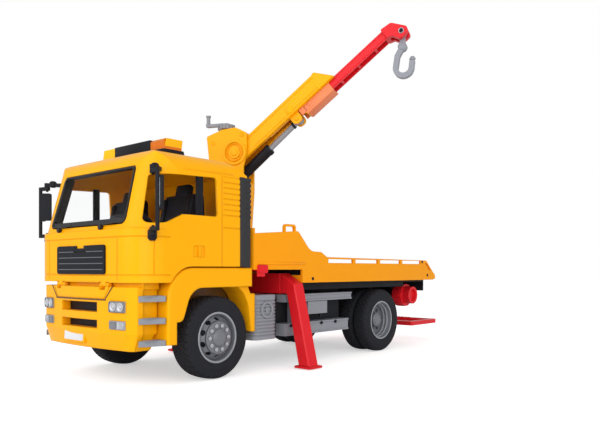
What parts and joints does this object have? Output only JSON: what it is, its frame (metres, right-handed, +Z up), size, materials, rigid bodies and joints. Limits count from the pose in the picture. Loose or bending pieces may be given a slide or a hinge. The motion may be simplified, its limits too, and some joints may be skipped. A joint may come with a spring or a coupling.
{
  "type": "toy tow truck",
  "caption": "Toy tow truck with a tilting cab, a low bed, slide-out outrigger legs, a folding towing frame and a slewing crane with a telescopic boom and hook.",
  "frame": {"origin": "on the floor, on the truck's centre plane, midway between the two axles", "axes": "+Z up, the front faces -Y, the truck's left side is +X"},
  "size_m": [0.264, 0.4605, 0.3058],
  "materials": {
    "yellow_plastic": "moulded, satin",
    "orange_plastic": "moulded, satin",
    "red_plastic": "moulded, satin",
    "grey_plastic": "moulded, silver grey",
    "black_plastic": "moulded, satin",
    "rim_silver": "moulded, silver grey",
    "tyre": "moulded tread",
    "window_clear": "clear plastic",
    "beacon_amber": "translucent amber"
  },
  "bodies": {
    "truck": {"chassis_frame": "black_plastic", "deck_plate": "black_plastic", "plate_skirts": "black_plastic", "front_axle": "black_plastic", "rear_axle": "black_plastic", "engine_block": "black_plastic", "bumper": "yellow_plastic", "head_lamps": "grey_plastic", "front_fenders": "yellow_plastic", "steps": "grey_plastic", "side_boxes": "grey_plastic", "fuel_tanks": "black_plastic", "side_rails": "grey_plastic", "outrigger_beam": "red_plastic", "bed": "orange_plastic", "bed_catches": "red_plastic"},
    "cab": {"cab_shell": "yellow_plastic", "grille": "black_plastic", "windscreen": "window_clear", "window_posts": "black_plastic", "cab_trim": "black_plastic", "dashboard": "black_plastic", "seats": "black_plastic", "light_bar": "black_plastic", "beacon_lenses": "beacon_amber", "mirror_brackets": "black_plastic"},
    "mirror_left": {"mirror_left": "black_plastic"},
    "mirror_right": {"mirror_right": "black_plastic"},
    "front_wheel_left": {"rim_front_left": "rim_silver", "tyre_front_left": "tyre"},
    "front_wheel_right": {"rim_front_right": "rim_silver", "tyre_front_right": "tyre"},
    "rear_wheel_left": {"rim_rear_left": "rim_silver", "tyre_rear_left": "tyre"},
    "rear_wheel_right": {"rim_rear_right": "rim_silver", "tyre_rear_right": "tyre"},
    "outrigger_left": {"outrigger_leg_left": "red_plastic"},
    "outrigger_right": {"outrigger_leg_right": "red_plastic"},
    "winch": {"winch_shaft": "red_plastic"},
    "tow_frame": {"tow_frame": "red_plastic"},
    "turret": {"turret": "yellow_plastic"},
    "crank": {"crank": "grey_plastic"},
    "outer_boom": {"outer_boom": "yellow_plastic"},
    "inner_boom": {"inner_boom": "red_plastic"},
    "hook": {"hook": "grey_plastic"},
    "cylinder_barrel": {"cylinder_barrel": "black_plastic"},
    "cylinder_rod": {"cylinder_rod": "grey_plastic"}
  },
  "joints": [
    {"name": "cab_tilt", "type": "hinge", "parent": "truck", "child": "cab", "pos_m": [0, -0.195, 0.077], "axis": [1, 0, 0], "range_deg": [0, 50]},
    {"name": "mirror_left_fold", "type": "hinge", "parent": "cab", "child": "mirror_left", "pos_m": [0.0765, -0.185, 0.14], "axis": [0, 0, 1], "range_deg": [-30, 45]},
    {"name": "mirror_right_fold", "type": "hinge", "parent": "cab", "child": "mirror_right", "pos_m": [-0.0765, -0.185, 0.14], "axis": [0, 0, 1], "range_deg": [-45, 30]},
    {"name": "front_left_spin", "type": "hinge", "parent": "truck", "child": "front_wheel_left", "pos_m": [0.0616, -0.118, 0.0335], "axis": [1, 0, 0], "continuous": true},
    {"name": "front_right_spin", "type": "hinge", "parent": "truck", "child": "front_wheel_right", "pos_m": [-0.0616, -0.118, 0.0335], "axis": [1, 0, 0], "continuous": true},
    {"name": "rear_left_spin", "type": "hinge", "parent": "truck", "child": "rear_wheel_left", "pos_m": [0.064, 0.118, 0.0335], "axis": [1, 0, 0], "continuous": true},
    {"name": "rear_right_spin", "type": "hinge", "parent": "truck", "child": "rear_wheel_right", "pos_m": [-0.064, 0.118, 0.0335], "axis": [1, 0, 0], "continuous": true},
    {"name": "outrigger_left_slide", "type": "slide", "parent": "truck", "child": "outrigger_left", "axis": [1, 0, 0], "range_m": [0, 0.02]},
    {"name": "outrigger_right_slide", "type": "slide", "parent": "truck", "child": "outrigger_right", "axis": [-1, 0, 0], "range_m": [0, 0.02]},
    {"name": "winch_spin", "type": "hinge", "parent": "truck", "child": "winch", "pos_m": [0, 0.192, 0.058], "axis": [1, 0, 0], "continuous": true},
    {"name": "tow_frame_fold", "type": "hinge", "parent": "truck", "child": "tow_frame", "pos_m": [0, 0.206, 0.044], "axis": [1, 0, 0], "range_deg": [-8, 80]},
    {"name": "crane_slew", "type": "hinge", "parent": "truck", "child": "turret", "pos_m": [0, -0.035, 0.114], "axis": [0, 0, 1], "range_deg": [-27, 163]},
    {"name": "crank_spin", "type": "hinge", "parent": "turret", "child": "crank", "pos_m": [-0.00649, -0.03762, 0.226], "axis": [0, 0, 1], "continuous": true},
    {"name": "boom_luff", "type": "hinge", "parent": "turret", "child": "outer_boom", "pos_m": [0.00751, -0.03197, 0.1993], "axis": [0.3746, -0.9272, 0], "range_deg": [-42, 28]},
    {"name": "boom_extend", "type": "slide", "parent": "outer_boom", "child": "inner_boom", "axis": [0.7236, 0.2924, 0.6252], "range_m": [-0.022, 0.004]},
    {"name": "hook_swing", "type": "hinge", "parent": "inner_boom", "child": "hook", "pos_m": [0.15348, 0.02701, 0.29788], "axis": [0.3746, -0.9272, 0], "range_deg": [-35, 60]},
    {"name": "cylinder_swing", "type": "hinge", "parent": "turret", "child": "cylinder_barrel", "pos_m": [0.01113, -0.03051, 0.18], "axis": [0.3746, -0.9272, 0], "range_deg": [-38.3, 25.6]},
    {"name": "cylinder_extend", "type": "slide", "parent": "cylinder_barrel", "child": "cylinder_rod", "axis": [0.7036, 0.2843, 0.6512], "range_m": [-0.0132, 0.0088]}
  ],
  "couplings": [
    {"joint": "cylinder_swing", "follows": "boom_luff", "ratio": 0.9104},
    {"joint": "cylinder_extend", "follows": "boom_luff", "m_per_rad": 0.017985}
  ]
}
